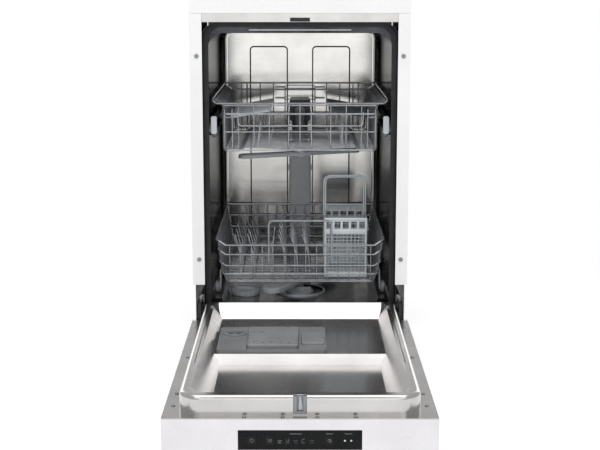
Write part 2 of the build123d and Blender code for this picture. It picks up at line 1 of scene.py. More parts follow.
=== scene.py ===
import bpy
import json
import math
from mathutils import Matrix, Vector

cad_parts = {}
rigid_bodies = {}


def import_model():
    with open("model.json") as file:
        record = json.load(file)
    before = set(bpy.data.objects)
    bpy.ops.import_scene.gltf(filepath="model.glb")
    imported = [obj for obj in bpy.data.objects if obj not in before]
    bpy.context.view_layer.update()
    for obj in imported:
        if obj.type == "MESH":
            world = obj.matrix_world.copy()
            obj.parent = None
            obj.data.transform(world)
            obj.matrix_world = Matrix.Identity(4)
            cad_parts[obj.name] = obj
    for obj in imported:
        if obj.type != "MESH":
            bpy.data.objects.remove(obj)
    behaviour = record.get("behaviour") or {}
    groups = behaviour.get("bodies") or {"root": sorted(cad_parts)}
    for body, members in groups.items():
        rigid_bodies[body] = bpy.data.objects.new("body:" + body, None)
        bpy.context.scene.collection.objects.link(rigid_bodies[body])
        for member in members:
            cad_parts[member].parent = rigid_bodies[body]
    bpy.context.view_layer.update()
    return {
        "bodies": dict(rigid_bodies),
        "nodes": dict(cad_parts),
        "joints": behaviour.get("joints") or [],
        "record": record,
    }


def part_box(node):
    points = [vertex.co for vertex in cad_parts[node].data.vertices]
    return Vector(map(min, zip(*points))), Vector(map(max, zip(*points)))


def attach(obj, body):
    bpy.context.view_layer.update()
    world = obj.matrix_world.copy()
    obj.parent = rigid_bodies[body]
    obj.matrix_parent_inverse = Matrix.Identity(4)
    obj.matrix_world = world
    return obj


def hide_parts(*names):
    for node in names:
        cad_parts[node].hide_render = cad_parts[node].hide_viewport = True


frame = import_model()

print("frame loaded:", len(frame["nodes"]), "nodes")

mm = 0.001
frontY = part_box("side_panels")[0][1]  # the cabinet's front flange, which the drawing sizes start from


def place(x, y, z):  # drawing millimetres to metres in the frame
    return Vector((x * mm, frontY + y * mm, z * mm))



def clearSelection():
    if bpy.context.object and bpy.context.object.mode != "OBJECT":
        bpy.ops.object.mode_set(mode="OBJECT")
    bpy.ops.object.select_all(action="DESELECT")


def settle(obj, name):  # place, turn and size go into the mesh
    clearSelection()
    obj.select_set(True)
    bpy.context.view_layer.objects.active = obj
    bpy.ops.object.transform_apply(location=True, rotation=True, scale=True)
    obj.name = name
    obj.data.name = name
    return obj


def applyModifiers(obj):
    clearSelection()
    obj.select_set(True)
    bpy.context.view_layer.objects.active = obj
    for modifier in list(obj.modifiers):
        bpy.ops.object.modifier_apply(modifier=modifier.name)
    return obj


def addBox(name, low, high, bevel=0.0, segments=2):
    clearSelection()
    middle = [(a + b) / 2 for a, b in zip(low, high)]
    bpy.ops.mesh.primitive_cube_add(size=1, location=place(*middle))
    obj = bpy.context.object
    obj.scale = [(b - a) * mm for a, b in zip(low, high)]
    settle(obj, name)
    if bevel:
        modifier = obj.modifiers.new("bevel", "BEVEL")
        modifier.width = bevel * mm
        modifier.segments = segments
        applyModifiers(obj)
    return obj


def addRound(name, radius, start, end, vertices=32, bevel=0.0):
    clearSelection()
    a, b = place(*start), place(*end)
    bpy.ops.mesh.primitive_cylinder_add(vertices=vertices, radius=radius * mm, depth=(b - a).length,
                                        location=(a + b) / 2)
    obj = bpy.context.object
    obj.rotation_mode = "QUATERNION"
    obj.rotation_quaternion = (b - a).to_track_quat("Z", "Y")
    settle(obj, name)
    if bevel:
        modifier = obj.modifiers.new("bevel", "BEVEL")
        modifier.width = bevel * mm
        modifier.segments = 2
        modifier.angle_limit = math.radians(50)
        applyModifiers(obj)
    return obj


def joinAll(name, objs):
    clearSelection()
    for obj in objs:
        obj.select_set(True)
    bpy.context.view_layer.objects.active = objs[0]
    if len(objs) > 1:
        bpy.ops.object.join()
    obj = bpy.context.object
    obj.name = name
    obj.data.name = name
    return obj


def smooth(obj, angle=35):
    clearSelection()
    obj.select_set(True)
    bpy.context.view_layer.objects.active = obj
    bpy.ops.object.shade_smooth_by_angle(angle=math.radians(angle))
    return obj


def finishPiece(obj, material, body, slot, *replaced):
    obj.data.materials.clear()
    obj.data.materials.append(material)
    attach(obj, body)
    if replaced:
        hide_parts(*replaced)
    return obj


def roundCorners(points, radius, steps=4, closed=False):  # each corner becomes a short arc
    points = [Vector(p) for p in points]
    count = len(points)
    path = []
    for i, corner in enumerate(points):
        if not closed and i in (0, count - 1):
            path.append(corner)
            continue
        before, after = points[i - 1] - corner, points[(i + 1) % count] - corner
        turn = math.pi - before.angle(after)
        if turn < 0.02:
            path.append(corner)
            continue
        reach = min(radius * math.tan(turn / 2), before.length * 0.49, after.length * 0.49)
        a, b = corner + before.normalized() * reach, corner + after.normalized() * reach
        for k in range(steps + 1):
            t = k / steps
            path.append(a * (1 - t) ** 2 + corner * 2 * t * (1 - t) + b * t ** 2)
    return path


def bendWires(name, wires, sides=8):  # one mesh of wires: points, radius, corner radius, closed or not
    pieces = []
    byRadius = {}
    for points, radius, corner, closed in wires:
        byRadius.setdefault(radius, []).append((points, corner, closed))
    for radius, group in byRadius.items():
        curve = bpy.data.curves.new(name, "CURVE")
        curve.dimensions = "3D"
        curve.bevel_depth = radius * mm
        curve.bevel_resolution = max(0, sides // 4 - 1 + (sides > 8))
        curve.use_fill_caps = True
        for points, corner, closed in group:
            path = roundCorners(points, corner, closed=closed)
            spline = curve.splines.new("POLY")
            spline.points.add(len(path) - 1)
            for point, value in zip(spline.points, path):
                point.co = (*place(*value), 1)
            spline.use_cyclic_u = closed
        obj = bpy.data.objects.new(name, curve)
        bpy.context.collection.objects.link(obj)
        clearSelection()
        obj.select_set(True)
        bpy.context.view_layer.objects.active = obj
        bpy.ops.object.convert(target="MESH")
        pieces.append(bpy.context.object)
    return smooth(joinAll(name, pieces), 60)



def toLinear(hexColour):
    values = [int(hexColour[i:i + 2], 16) / 255 for i in (1, 3, 5)]
    return [v / 12.92 if v <= 0.04045 else ((v + 0.055) / 1.055) ** 2.4 for v in values] + [1.0]


def addNode(tree, kind, links=None, **settings):  # a shader node with its settings, values and links
    node = tree.nodes.new(kind)
    for key, value in settings.items():
        if hasattr(node, key):
            setattr(node, key, value)
    for socket, source in (links or {}).items():
        if isinstance(source, (int, float, tuple, list)):
            node.inputs[socket].default_value = source
        else:
            tree.links.new(source, node.inputs[socket])
    return node


def startMaterial(name, colour, roughness, metallic=0.0, **sockets):
    material = bpy.data.materials.new(name)
    material.use_nodes = True
    tree = material.node_tree
    shader = tree.nodes["Principled BSDF"]
    shader.inputs["Base Color"].default_value = toLinear(colour)
    shader.inputs["Roughness"].default_value = roughness
    shader.inputs["Metallic"].default_value = metallic
    for socket, value in sockets.items():
        shader.inputs[socket.replace("_", " ")].default_value = value
    coords = addNode(tree, "ShaderNodeTexCoord")
    return material, tree, shader, coords.outputs["Object"]


def grain(tree, coords, size, detail=3.0, stretch=(1, 1, 1)):  # noise, its features sized in millimetres
    mapping = addNode(tree, "ShaderNodeMapping", {"Vector": coords, "Scale": stretch})
    return addNode(tree, "ShaderNodeTexNoise",
                   {"Vector": mapping.outputs[0], "Scale": 1000 / size, "Detail": detail}).outputs["Fac"]


def mixColours(tree, factor, low, high, start=0.3, end=0.7):
    ramp = addNode(tree, "ShaderNodeValToRGB", {"Fac": factor})
    ramp.color_ramp.elements[0].position = start
    ramp.color_ramp.elements[1].position = end
    ramp.color_ramp.elements[0].color = toLinear(low)
    ramp.color_ramp.elements[1].color = toLinear(high)
    return ramp.outputs["Color"]


def spread(tree, factor, low, high):
    return addNode(tree, "ShaderNodeMapRange", {"Value": factor, "From Min": 0.3, "From Max": 0.7,
                                                "To Min": low, "To Max": high}).outputs["Result"]


def bump(tree, shader, height, strength, distance):
    node = addNode(tree, "ShaderNodeBump", {"Height": height, "Strength": strength,
                                            "Distance": distance * mm})
    tree.links.new(node.outputs["Normal"], shader.inputs["Normal"])


# injection-moulded plastic: faint cloudy colour and a fine spark-eroded grain
def moulded(name, low, high, roughness, grit=0.6, depth=0.05, **sockets):
    material, tree, shader, coords = startMaterial(name, low, roughness, **sockets)
    cloud = grain(tree, coords, 40, 2.0)
    tree.links.new(mixColours(tree, cloud, low, high), shader.inputs["Base Color"])
    tree.links.new(spread(tree, grain(tree, coords, 9, 4.0), roughness * 0.88, roughness * 1.14),
                   shader.inputs["Roughness"])
    bump(tree, shader, grain(tree, coords, grit, 2.0), 0.25, depth)
    return material


def makePaint():  # powder-coated sheet steel: even white with a faint orange peel
    material, tree, shader, coords = startMaterial("whitePowderCoat", "#fafafa", 0.38,
                                                   Coat_Weight=0.15, Coat_Roughness=0.2)
    tree.links.new(mixColours(tree, grain(tree, coords, 120, 2.0), "#f3f3f4", "#f8f8f8"),
                   shader.inputs["Base Color"])
    tree.links.new(spread(tree, grain(tree, coords, 14, 3.0), 0.33, 0.43), shader.inputs["Roughness"])
    bump(tree, shader, grain(tree, coords, 1.6, 1.0), 0.12, 0.05)
    return material


# rolled stainless sheet: long faint rolling lines, a soft water haze
def makeSteel(name, low, high, roughness, stretch, grainSize=1.6, strength=0.08, **sockets):
    material, tree, shader, coords = startMaterial(name, low, roughness, 1.0, **sockets)
    haze = grain(tree, coords, 70, 3.0)
    tree.links.new(mixColours(tree, haze, low, high), shader.inputs["Base Color"])
    lines = grain(tree, coords, grainSize, 2.0, stretch)
    tree.links.new(spread(tree, lines, roughness * 0.9, roughness * 1.12), shader.inputs["Roughness"])
    bump(tree, shader, lines, strength, 0.04)
    return material


def makeGalvanised():  # hot-dip zinc sheet: grey with cool and warm spangle flakes
    material, tree, shader, coords = startMaterial("galvanisedSteel", "#a8adb0", 0.45, 0.85)
    flakes = addNode(tree, "ShaderNodeTexVoronoi", {"Vector": coords, "Scale": 1000 / 5})
    tree.links.new(mixColours(tree, flakes.outputs["Distance"], "#a3a8ac", "#b2b7ba", 0.1, 0.8),
                   shader.inputs["Base Color"])
    tree.links.new(spread(tree, flakes.outputs["Distance"], 0.38, 0.52), shader.inputs["Roughness"])
    return material


def makeRubber():  # EPDM extrusion: deep black, dull, a little dust
    material, tree, shader, coords = startMaterial("epdmRubber", "#121213", 0.62)
    tree.links.new(mixColours(tree, grain(tree, coords, 22, 3.0), "#272729", "#343436"),
                   shader.inputs["Base Color"])
    bump(tree, shader, grain(tree, coords, 0.8, 2.0), 0.2, 0.05)
    return material


def makeDippedWire():  # nylon-dipped steel wire: mid grey, softly glossy, uneven skin
    material, tree, shader, coords = startMaterial("nylonDippedWire", "#989ba0", 0.22, 0.45,
                                                   Coat_Weight=0.4, Coat_Roughness=0.1)
    tree.links.new(mixColours(tree, grain(tree, coords, 15, 2.0), "#999ca1", "#b7babf"),
                   shader.inputs["Base Color"])
    tree.links.new(spread(tree, grain(tree, coords, 6, 2.0), 0.16, 0.28), shader.inputs["Roughness"])
    bump(tree, shader, grain(tree, coords, 3, 1.0), 0.15, 0.08)
    return material


def makeGlossBlack(name, low, high):  # acrylic fascia: piano black with faint haze
    material, tree, shader, coords = startMaterial(name, low, 0.3, Specular_IOR_Level=0.14)
    tree.links.new(mixColours(tree, grain(tree, coords, 30, 3.0), low, high), shader.inputs["Base Color"])
    tree.links.new(spread(tree, grain(tree, coords, 4, 4.0), 0.26, 0.34), shader.inputs["Roughness"])
    return material


def makeBoard():  # FR4 circuit board: green solder mask over copper tracks
    material, tree, shader, coords = startMaterial("fr4Board", "#1d5a34", 0.35)
    tracks = addNode(tree, "ShaderNodeTexWave", {"Vector": coords, "Scale": 120.0, "Distortion": 2.0})
    tree.links.new(mixColours(tree, tracks.outputs["Fac"], "#174a2a", "#2a7446", 0.45, 0.55),
                   shader.inputs["Base Color"])
    return material


paint = makePaint()
whiteAbs = moulded("whiteAbs", "#dedcdf", "#e4e2e5", 0.3)  # glossy white ABS of the control strip
# the tub's stainless is painted near black with a dark specular tint: painted shade, the dark interior that
# the walls reflect
shadedTubSteel = makeSteel("rolledStainlessTubPaintedShade", "#26272a", "#4c4d51", 0.15, (1, 1, 0.012), 9, 0.55,
                     Specular_Tint=(0.16, 0.16, 0.17, 1))
backSteel = makeSteel("rolledStainlessBack", "#bdbcb9", "#cccbc8", 0.13, (0.05, 1, 1), 4, 0.04)
# the floor and filter plate steel is painted mid grey, darker than the back wall's: painted shade of the
# tub's lower interior
shadedFloorSteel = makeSteel("pressedStainlessFloorPaintedShade", "#7f8083", "#a5a6a8", 0.18, (1, 0.1, 1), 6, 0.2)
doorSteel = makeSteel("brushedStainlessLiner", "#bfbdbc", "#cbc9c8", 0.2, (0.03, 1, 1), 2, 0.01)
barSteel = makeSteel("brushedStainlessBar", "#c9c8c6", "#dad9d7", 0.35, (0.05, 1, 1), 4, 0.1)
zinc = makeGalvanised()
blackPp = moulded("blackPolypropylene", "#151617", "#1e1f20", 0.5)
darkPp = moulded("darkGreyPolypropylene", "#3a3c3f", "#46484b", 0.42)
greyPp = moulded("greyPolypropylene", "#83868a", "#929599", 0.36)
# the duct and sump grey is painted pale, above the duct's own mid grey: painted light making up for the dim
# tub interior
paintedLightDuctGrey = moulded("greyDuctPolypropylenePaintedLight", "#d3d7dd", "#dee1e6", 0.3)
dispenserGrey = moulded("dispenserPolypropylene", "#77787a", "#838486", 0.34)
lidGrey = moulded("dispenserLidPolypropylene", "#818283", "#8f9091", 0.3)
paleGrey = moulded("paleGreyPolypropylene", "#c3c9cd", "#d2d7da", 0.36)
cutleryGrey = moulded("cutleryPolypropylene", "#c9d2d6", "#d8dfe2", 0.34)
whitePp = moulded("whitePolypropylene", "#d9dad8", "#e4e4e2", 0.45)
milkyPp = moulded("milkyPolypropylene", "#cfd4d4", "#dde1e0", 0.3)
rubber = makeRubber()
blackSteel = moulded("blackCoatedSteel", "#1a1b1c", "#242526", 0.36)
springSteel = makeSteel("drawnSpringSteel", "#8e8f90", "#a5a6a6", 0.3, (1, 0.1, 1))
dippedWire = makeDippedWire()
glossBlack = makeGlossBlack("blackAcrylic", "#0d0e0f", "#131416")
buttonBlack = makeGlossBlack("blackAbsKey", "#141516", "#1c1d1f")
board = makeBoard()
iconPrint = moulded("whiteScreenPrint", "#c9cccf", "#d6d8da", 0.5, grit=0.3, depth=0.01)

slotLooks = {
    "white_paint": paint, "white_plastic": whiteAbs, "stainless": shadedTubSteel, "galvanised": zinc,
    "black_plastic": blackPp, "dark_plastic": darkPp, "grey_plastic": greyPp, "pale_plastic": paleGrey,
    "clear_plastic": milkyPp, "gasket_rubber": rubber, "black_steel": blackSteel,
    "spring_steel": springSteel, "black_gloss": glossBlack, "circuit_board": board,
    "grey_wire": dippedWire,
}
nodeLooks = {
    "tub_back": backSteel, "tub_floor": shadedFloorSteel, "door_inner_panel": doorSteel, "water_duct": paintedLightDuctGrey,
    "dispenser_body": dispenserGrey, "detergent_lid": lidGrey, "dispenser_latch": lidGrey,
    "rinse_aid_cap": lidGrey, "latch_catch": greyPp, "salt_cap": paleGrey,
    "filter_plate": shadedFloorSteel, "sump": paintedLightDuctGrey, "softener_tank": whitePp,
    "inlet_valve": whitePp, "power_button": buttonBlack, "programme_button": buttonBlack,
    "half_load_button": buttonBlack,
}
for part in frame["record"]["subparts"]:
    look = nodeLooks.get(part["node"], slotLooks[part["material_slot"]])
    target = frame["nodes"][part["node"]]
    target.data.materials.clear()
    target.data.materials.append(look)
print("materials on the fixed nodes")

upperBasket = {
    "rimHalf": 181, "bodyHalf": 160, "front": 38, "back": 482, "rim": 610, "floor": 500,
    "frontTop": 601, "crossCount": 20, "wire": 1.15, "rail": 1.9,
    "pipeStart": 424, "rollerPlaces": (267, 430), "rollerLevel": 556,
}


def rimLoop(spec, level, half, inset=0, frontLevel=None):  # a closed rail round the basket
    front = frontLevel if frontLevel is not None else level
    f, b = spec["front"] + inset, spec["back"] - inset
    return [(-half, f, front), (half, f, front), (half, b, level), (-half, b, level)]


def upperCrossWire(y):  # down one side, across the floor with a raised middle, and up the other side
    spec = upperBasket
    b, low = spec["bodyHalf"], spec["floor"]
    left = [(-spec["rimHalf"] + 3, y, spec["rim"] - 3), (-b - 1, y, spec["rim"] - 14), (-b, y, low),
            (-b + 34, y, low)]
    middle = [(-b + 44, y, low + 7), (-30, y, low + 4)]
    if y > spec["pipeStart"]:  # the feed pipe rises here, so the wire stops at its sides
        right = [(-x, y, z) for x, _, z in left + middle]
        return [left + middle, right]
    return [left + middle + [(-x, y, z) for x, _, z in reversed(left + middle)]]


def makeUpperBasket():
    spec = upperBasket
    top, low, wire, rail = spec["rim"], spec["floor"], spec["wire"], spec["rail"]
    f, b, half = spec["front"], spec["back"], spec["rimHalf"]
    rim = [(-half, f + 10, top), (-half + 1, f + 2, top - 5), (-half + 8, f, spec["frontTop"]),
           (half - 8, f, spec["frontTop"]), (half - 1, f + 2, top - 5), (half, f + 10, top),
           (half, b, top + 2),
           (-half, b, top + 2)]
    wires = [(rim, rail + 0.2, 6, True)]
    second = [(-160, f + 26, 588), (-157, f + 2, 579), (157, f + 2, 579), (160, f + 26, 588)]
    wires.append((second, rail, 8, False))
    handle = [(-130, f + 1.5, 583), (-128, f + 3, 554), (130, f + 3, 554), (132, f + 1.5, 583)]
    wires.append((handle, 1.5, 8, False))
    wires.append((rimLoop(spec, 596, 164, 8), 1.5, 10, True))
    wires.append((rimLoop(spec, 541, 161.5, 8), wire, 10, True))
    wires.append((rimLoop(spec, low + 2.5, 158, 12), 1.6, 10, True))
    step = (b - f - 40) / (spec["crossCount"] - 1)
    for i in range(spec["crossCount"]):
        for path in upperCrossWire(f + 20 + i * step):
            wires.append((path, wire, 7, False))
    for x in (-157, -141, -128, -96, -64, 64, 96, 128, 141, 157):  # along the floor and up both ends
        frontTop = spec["frontTop"] if abs(x) < 130 else 589
        lift = 9 if abs(x) < 120 else 2
        wires.append(([(x, f + 2, frontTop), (x, f + 11, low + lift),
                       (x, b - 10, low + lift), (x, b - 3, top)],
                      wire, 9, False))
    for x in (-24, 0, 24):
        wires.append(([(x, f + 2.5, spec["frontTop"] - 1), (x, f + 10, 506), (x, 414, 506)], wire, 8, False))
    for z in (602, 576):
        wires.append(([(-60, 477, z), (-36, 477, z), (-36, 444, z), (36, 444, z), (36, 477, z), (60, 477, z)],
                      1.5, 8, False))
    for x in (-36, 36):
        wires.append(([(x, 444, 602), (x, 444, 505)], wire, 8, False))
    for x in (-88, 88):  # two rows of low tines for cups and glasses
        for i in range(14):
            y = 64 + i * 25
            wires.append(([(x, y, 507), (x + 1, y + 2, 530), (x + 3, y + 9, 552)], wire, 12, False))
    for side in (-1, 1):  # the hinge wires that the cup shelves fold on
        wires.append(([(side * 160, 101, 566), (side * 146, 101, 566), (side * 146, 408, 566),
                       (side * 160, 408, 566)], 1.5, 4, False))
    parts = [bendWires("upperBasketWires", wires)]
    for y in spec["rollerPlaces"]:
        z = spec["rollerLevel"]
        for side in (-1, 1):
            low, high = sorted((side * 162.4, side * 165.5))
            parts.append(addBox("bracket", (low, y - 13, 541), (high, y + 13, 598), 1.0))
            parts.append(addRound("pin", 3, (side * 165, y, z), (side * 181.2, y, z), 20, 0.5))
            parts.append(addRound("collar", 6, (side * 165, y, z), (side * 174, y, z), 20, 0.8))
    frame = joinAll("upperBasketFrame", parts)
    finishPiece(frame, dippedWire, "upper_basket_body", "grey_wire", "upper_basket")


makeUpperBasket()
print("upper basket wires")


cupShelf = {"hinge": 146, "inner": 62, "level": 566, "front": 112, "back": 398, "slats": 10, "tilt": 10}


def makeCupShelf(side, name, body, replaced):  # a hinge tube, a rim and slanted louvre slats between them
    spec = cupShelf
    z, f, b = spec["level"], spec["front"], spec["back"]
    outer, inner = side * (spec["hinge"] - 4), side * spec["inner"]
    low, high = sorted((outer, inner))
    x = side * spec["hinge"]
    parts = [addRound("hingeTube", 3.4, (x, 110, z), (x, 400, z), 24, 0.6)]
    parts.append(addBox("innerRim", *zip(*(sorted(pair) for pair in (
        (inner, inner + side * 4), (f, b), (z - 3, z + 1.5)))), 1.2))
    parts.append(addBox("frontRim", (low, f, z - 3), (high, f + 3, z + 1.5), 1.0))
    parts.append(addBox("backRim", (low, b - 3, z - 3), (high, b, z + 1.5), 1.0))
    pitch = (b - f - 12) / spec["slats"]
    for i in range(spec["slats"]):
        clearSelection()
        y = f + 8 + (i + 0.5) * pitch
        bpy.ops.mesh.primitive_cube_add(size=1, location=place((low + high) / 2, y, z - 1))
        slat = bpy.context.object
        slat.scale = ((high - low) * mm, 19 * mm, 1.6 * mm)
        slat.rotation_euler = (math.radians(-16), 0, 0)
        parts.append(settle(slat, "slat"))
    for i in range(1, 4):
        x = low + i * (high - low) / 4
        parts.append(addBox("spar", (x - 1.2, f, z - 3), (x + 1.2, b, z + 0.5), 0.5))
    shelf = joinAll(name, parts)
    clearSelection()
    shelf.select_set(True)
    bpy.context.view_layer.objects.active = shelf
    shelf.location = -place(side * spec["hinge"], 0, z)  # the shelf rises towards the basket's middle
    settle(shelf, name)
    shelf.rotation_mode = "XYZ"
    shelf.rotation_euler = (0, math.radians(side * spec["tilt"]), 0)
    settle(shelf, name)
    shelf.location = place(side * spec["hinge"], 0, z)
    settle(shelf, name)
    # the right shelf is dark grey and the left pale grey: painted shade on the right copy of the same shelf
    finishPiece(smooth(shelf), paleGrey if side < 0 else darkPp, body, "grey_plastic", replaced)


makeCupShelf(-1, "cupShelfLeft", "shelf_left_body", "cup_shelf_left")
makeCupShelf(1, "cupShelfRight", "shelf_right_body", "cup_shelf_right")
print("cup shelves")

lowerBasket = {
    "rimHalf": 178, "bodyHalf": 166, "front": 42, "back": 476, "rim": 315, "floor": 217,
    "frontRails": (301, 281, 257), "sideRails": (311, 289, 263), "wire": 1.15, "rail": 1.9,
    "wheelPlaces": (92, 440), "wheelLevel": 201.35, "tinePlaces": (-126, -98, -30, -4, 22),
    "tineHeight": 84, "tineCount": 11,
}


def frontRail(front, side, half, y, back, rearLevel):  # straight across the front, stepped out to the corners
    return [(-half, back, rearLevel), (-half, y + 12, side), (-half + 5, y + 2, side - 1),
            (-157, y - 2, front),
            (157, y - 2, front), (half - 5, y + 2, side - 1), (half, y + 12, side), (half, back, rearLevel)]


def makeLowerBasket():
    spec = lowerBasket
    wire, rail, f, b = spec["wire"], spec["rail"], spec["front"], spec["back"]
    rows = zip(spec["frontRails"], spec["sideRails"], (spec["rimHalf"], 174.5, 171.5), (317, 290, 262))
    wires = []
    for i, (front, side, half, rear) in enumerate(rows):
        wires.append((frontRail(front, side, half, f + 1, b - i, rear), rail if i else rail + 0.3, 9, True))
    wires.append((rimLoop(spec, spec["floor"] + 3, 158, 14), 1.7, 12, True))
    wires.append((rimLoop(spec, 238, 166, 4), 1.5, 12, True))
    count = 19
    for i in range(count):  # across: down a side, over the floor and up again
        y = f + 22 + i * (b - f - 44) / (count - 1)
        low = spec["floor"]
        path = [(-176, y, 312), (-167, y, 246), (-156, y, low), (156, y, low), (167, y, 246), (176, y, 312)]
        wires.append((path, wire, 12, False))
    for i in range(14):
        x = -149 + i * 23
        path = [(x, f + 0.5, 300), (x, f + 9, 224), (x, f + 24, 219.4), (x, b - 22, 219.4), (x, b - 4, 312)]
        wires.append((path, wire, 10, False))
    wires.append(([(-66, f, 262), (-66, f - 2.6, 354), (66, f - 2.6, 354), (66, f, 262)], 2.3, 10, False))
    for x in spec["tinePlaces"]:
        wires.append(([(x, 84, 221), (x, 452, 221)], 1.7, 2, False))
        for i in range(spec["tineCount"]):
            y = 98 + i * 32  # between the folding tines, which lie down past these
            lean = -17 if i % 2 else -13
            wires.append(([(x, y, 221), (x + lean * 0.2, y + 4, 221 + spec["tineHeight"] * 0.5),
                           (x + lean, y + 16, 221 + spec["tineHeight"])], 1.05, 30, False))
    parts = [bendWires("lowerBasketWires", wires)]
    for y in spec["wheelPlaces"]:
        z = spec["wheelLevel"]
        for side in (-1, 1):
            low, high = sorted((side * 169.9, side * 172.7))
            parts.append(addBox("bracket", (low, y - 15, 198), (high, y + 15, 240), 1.0))
            parts.append(addRound("pin", 3, (side * 172.5, y, z), (side * 182.1, y, z), 20, 0.5))
    frame = joinAll("lowerBasketFrame", parts)
    finishPiece(frame, dippedWire, "lower_basket_body", "grey_wire", "lower_basket")

    row = [([(-62, 100, 226), (-62, 440, 226)], 1.9, 2, False)]
    for i in range(11):
        y = 108 + i * 32
        row.append(([(-62, y, 225), (-61, y + 6, 262), (-58, y + 15, 296)], 1.35, 20, False))
    finishPiece(bendWires("foldingTineRow", row), dippedWire, "tine_body", "grey_wire", "folding_tines")


makeLowerBasket()
print("lower basket wires")

cutlery = {
    "x": (52, 144), "y": (86, 240), "z": (221, 352), "baseTop": 234,
    "band": (315, 326), "windows": (328, 345),
    "bar": 1.15, "bowTop": 434, "bowSpan": (52.5, 143.5), "bowAt": 163,
}


def addLattice(name, low, high, cells, normal, bar):  # a flat grid of square bars, from a divided plane
    clearSelection()
    middle = [(a + b) / 2 for a, b in zip(low, high)]
    bpy.ops.mesh.primitive_grid_add(x_subdivisions=cells[0], y_subdivisions=cells[1], size=1,
                                    location=place(*middle))
    obj = bpy.context.object
    width, height, depth = [(b - a) * mm for a, b in zip(low, high)]
    if normal == "Y":
        obj.rotation_euler = (math.radians(90), 0, 0)
        obj.scale = (width, depth, 1)
    elif normal == "X":
        obj.rotation_euler = (math.radians(90), 0, math.radians(90))
        obj.scale = (height, depth, 1)
    else:
        obj.scale = (width, height, 1)
    settle(obj, name)
    modifier = obj.modifiers.new("bars", "WIREFRAME")
    modifier.thickness = bar * mm
    modifier.use_even_offset = True
    modifier.use_boundary = True
    modifier.use_replace = True
    return applyModifiers(obj)


def bandAround(name, z0, z1, out, wall):  # four walls of a band round the basket
    (x0, x1), (y0, y1) = cutlery["x"], cutlery["y"]
    x0, x1, y0, y1 = x0 - out, x1 + out, y0 - out, y1 + out
    outer = addBox(name, (x0, y0, z0), (x1, y1, z1), 2.5, 3)
    inner = addBox("hollow", (x0 + wall, y0 + wall, z0 - 5), (x1 - wall, y1 - wall, z1 + 5))
    modifier = outer.modifiers.new("hollow", "BOOLEAN")
    modifier.operation = "DIFFERENCE"
    modifier.object = inner
    applyModifiers(outer)
    bpy.data.objects.remove(inner)
    return outer


def makeCutleryBasket():
    spec = cutlery
    (x0, x1), (y0, y1), (z0, z1) = spec["x"], spec["y"], spec["z"]
    bar, inset = spec["bar"], spec["bar"] / 2 + 0.4
    parts = [bandAround("base", z0, spec["baseTop"], 0, 2), bandAround("band", *spec["band"], 0.3, 2.2),
             bandAround("rim", spec["windows"][1], z1, 0.3, 2.2)]
    parts.append(addBox("floorPlate", (x0 + 1, y0 + 1, z0 + 0.2), (x1 - 1, y1 - 1, z0 + 3), 0.8))
    grids = ((spec["baseTop"] - 1, spec["band"][0] + 1, (11, 12), (18, 12)),
             (spec["windows"][0] - 2, spec["windows"][1] + 1, (5, 1), (8, 1)))
    for low, high, acrossCells, alongCells in grids:
        thick = bar if acrossCells[0] > 6 else 4.8
        for y in (y0 + inset, y1 - inset):
            lattice = addLattice("screen", (x0 + 2, y, low), (x1 - 2, y, high), acrossCells, "Y", thick)
            if thick > bar:  # wide posts, but no thicker than the wall
                for vertex in lattice.data.vertices:
                    middle = place(0, y, 0).y
                    vertex.co.y = middle + (vertex.co.y - middle) * bar / thick
            parts.append(lattice)
        for x in (x0 + inset, x1 - inset):
            lattice = addLattice("screen", (x, y0 + 2, low), (x, y1 - 2, high), alongCells, "X", thick)
            if thick > bar:
                for vertex in lattice.data.vertices:
                    vertex.co.x = x * mm + (vertex.co.x - x * mm) * bar / thick
            parts.append(lattice)
    for x in (x0 + 2.5, x1 - 2.5):
        for y in (y0 + 2.5, y1 - 2.5):
            parts.append(addRound("cornerPost", 2.6, (x, y, z0 + 4), (x, y, z1 - 2), 16))
    for y in (137.5, 187.5):
        parts.append(addLattice("divider", (x0 + 2, y, z0 + 4), (x1 - 2, y, 340), (9, 12), "Y", bar))
    for y in (spec["bowAt"] - 2.6, spec["bowAt"] + 2.6):  # the bow is two round rails with a web between
        path = [(spec["bowSpan"][0], y, 345), (spec["bowSpan"][0], y, spec["bowTop"] - 1.6),
                (spec["bowSpan"][1], y, spec["bowTop"] - 1.6), (spec["bowSpan"][1], y, 345)]
        parts.append(bendWires("bowRail", [(path, 1.6, 16, False)]))
    inner = [(spec["bowSpan"][0] + 4, spec["bowAt"], 345), (spec["bowSpan"][0] + 4, spec["bowAt"], 429),
             (spec["bowSpan"][1] - 4, spec["bowAt"], 429), (spec["bowSpan"][1] - 4, spec["bowAt"], 345)]
    parts.append(bendWires("bowWeb", [(inner, 1.4, 13, False)]))
    finishPiece(smooth(joinAll("cutleryBasketShell", parts)), cutleryGrey, "cutlery_body", "pale_plastic",
                "cutlery_basket")


def makeCutleryLid():  # a perforated cover with a rolled edge on its hinge side
    (x0, x1), z1 = cutlery["x"], cutlery["z"][1]
    low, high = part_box("cutlery_lid")
    y0, y1 = (low[1] - frontY) / mm, (high[1] - frontY) / mm
    parts = [addLattice("cover", (x0 + 3, y0 + 2, z1 + 1.8), (x1 - 3, y1 - 4, z1 + 1.8), (6, 3), "Z", 1.6)]
    edge = [(x0 + 2, y0 + 1.4, z1 + 1.8), (x1 - 2, y0 + 1.4, z1 + 1.8), (x1 - 2, y1 - 3, z1 + 1.8),
            (x0 + 2, y1 - 3, z1 + 1.8)]
    parts.append(bendWires("lidEdge", [(edge, 1.3, 5, True)]))
    parts.append(addRound("hingeRod", 2.6, (x0 + 0.6, 239, 355), (x1 - 0.6, 239, 355), 20, 0.5))
    finishPiece(smooth(joinAll("cutleryLidCover", parts)), cutleryGrey, "cutlery_lid_body", "pale_plastic",
                "cutlery_lid")


makeCutleryBasket()
makeCutleryLid()
print("cutlery basket")

fascia = {"level": 117.8, "iconX": (-32.7, -20, -6.8, 5.8, 19), "glyph": 3.6, "stroke": 0.32, "proud": 0.08}


